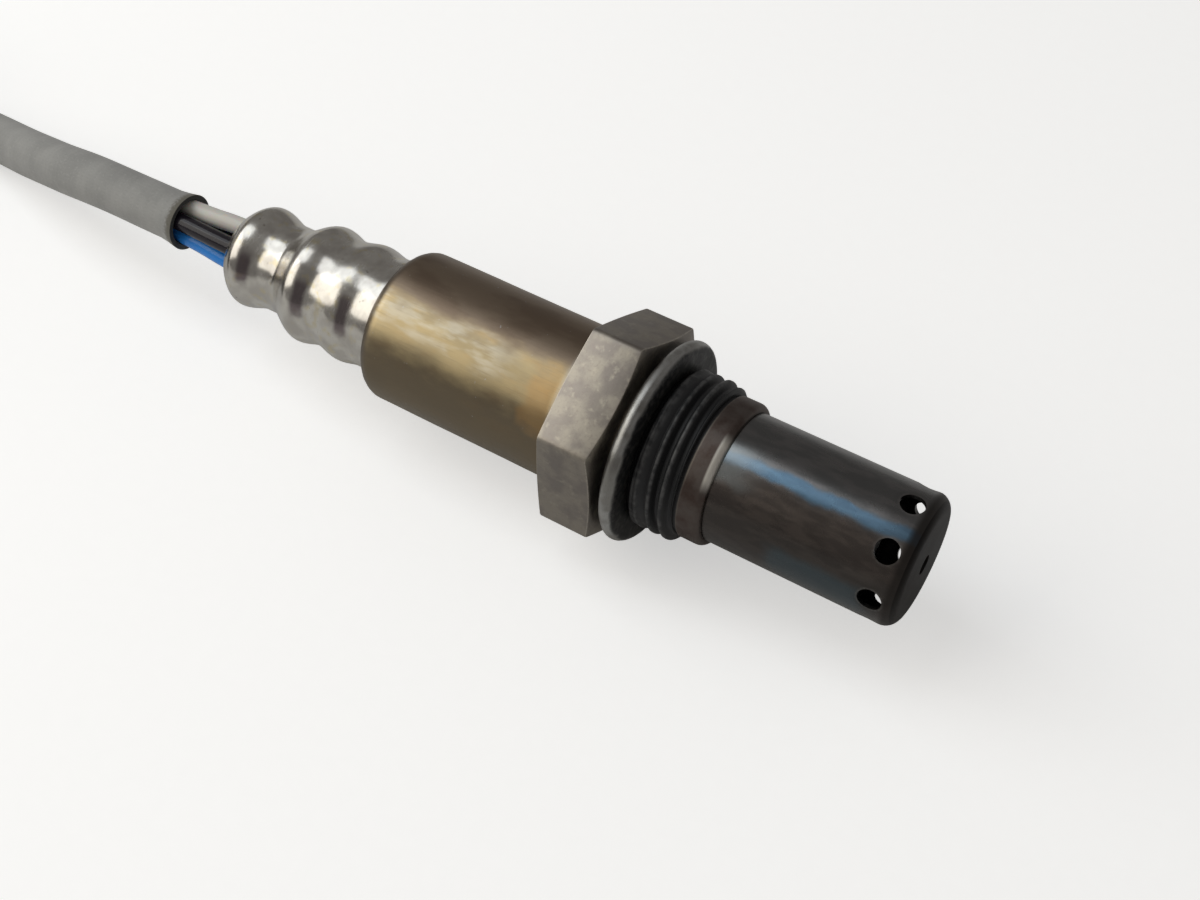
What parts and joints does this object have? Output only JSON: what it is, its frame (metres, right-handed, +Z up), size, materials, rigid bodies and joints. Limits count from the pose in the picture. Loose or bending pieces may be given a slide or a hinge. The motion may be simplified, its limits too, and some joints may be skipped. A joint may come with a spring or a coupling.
{
  "type": "heated exhaust oxygen sensor",
  "caption": "Heated exhaust oxygen sensor with a threaded steel body, hexagon, perforated protector tube, crimped rear sleeve and a coiled four-wire harness with plug.",
  "frame": {"origin": "on the sensor's axis, where the thread begins in front of the gasket ring", "axes": "+X along the sensor's axis towards its tip, +Z up as the sensor lies, +Y to the left of the tip"},
  "size_m": [0.2147, 0.0761, 0.0254],
  "materials": {
    "body_steel": "dull blotched steel, black anti-seize on the thread",
    "gasket_steel": "satin folded sheet",
    "protector_steel": "dark heat-tinted steel with a blue cast",
    "inner_protector_steel": "satin",
    "seat_washer_steel": "satin",
    "element_ceramic": "matt fired ceramic",
    "heater_ceramic": "matt fired ceramic",
    "talc": "pressed powder",
    "ring_ceramic": "matt fired ceramic",
    "crimp_ring_steel": "satin",
    "cover_steel": "straw and bronze heat tint",
    "sleeve_steel": "bright polished stainless steel",
    "grommet_rubber": "matt black",
    "holder_ceramic": "matt fired ceramic",
    "contact_metal": "plated strip",
    "white_lead": "glossy insulation",
    "black_lead": "glossy insulation",
    "blue_lead": "satin insulation",
    "harness_sleeving": "coated glass-fibre braid",
    "connector_plastic": "fine moulded grain",
    "seal_rubber": "matt",
    "lock_plastic": "moulded",
    "pin_metal": "tin-plated brass"
  },
  "bodies": {
    "root": {"housing": "body_steel", "gasket_ring": "gasket_steel", "outer_protector": "protector_steel", "inner_protector": "inner_protector_steel", "seat_washer": "seat_washer_steel", "sensing_element": "element_ceramic", "heater_rod": "heater_ceramic", "talc_packing": "talc", "insulating_ring": "ring_ceramic", "crimp_ring": "crimp_ring_steel", "main_cover": "cover_steel", "rear_sleeve": "sleeve_steel", "grommet": "grommet_rubber", "contact_holder": "holder_ceramic", "outer_contact": "contact_metal", "inner_contact": "contact_metal", "heater_contact_front": "contact_metal", "heater_contact_rear": "contact_metal", "lead_white": "white_lead", "lead_black_front": "black_lead", "lead_blue": "blue_lead", "lead_black_rear": "black_lead", "harness_tube": "harness_sleeving", "harness_coil": "harness_sleeving", "plug_lead_white": "white_lead", "plug_lead_black_front": "black_lead", "plug_lead_blue": "blue_lead", "plug_lead_black_rear": "black_lead", "connector_shell": "connector_plastic", "connector_seal": "seal_rubber", "connector_lock": "lock_plastic", "connector_pin_white": "pin_metal", "connector_pin_black_front": "pin_metal", "connector_pin_blue": "pin_metal", "connector_pin_black_rear": "pin_metal"}
  },
  "joints": []
}
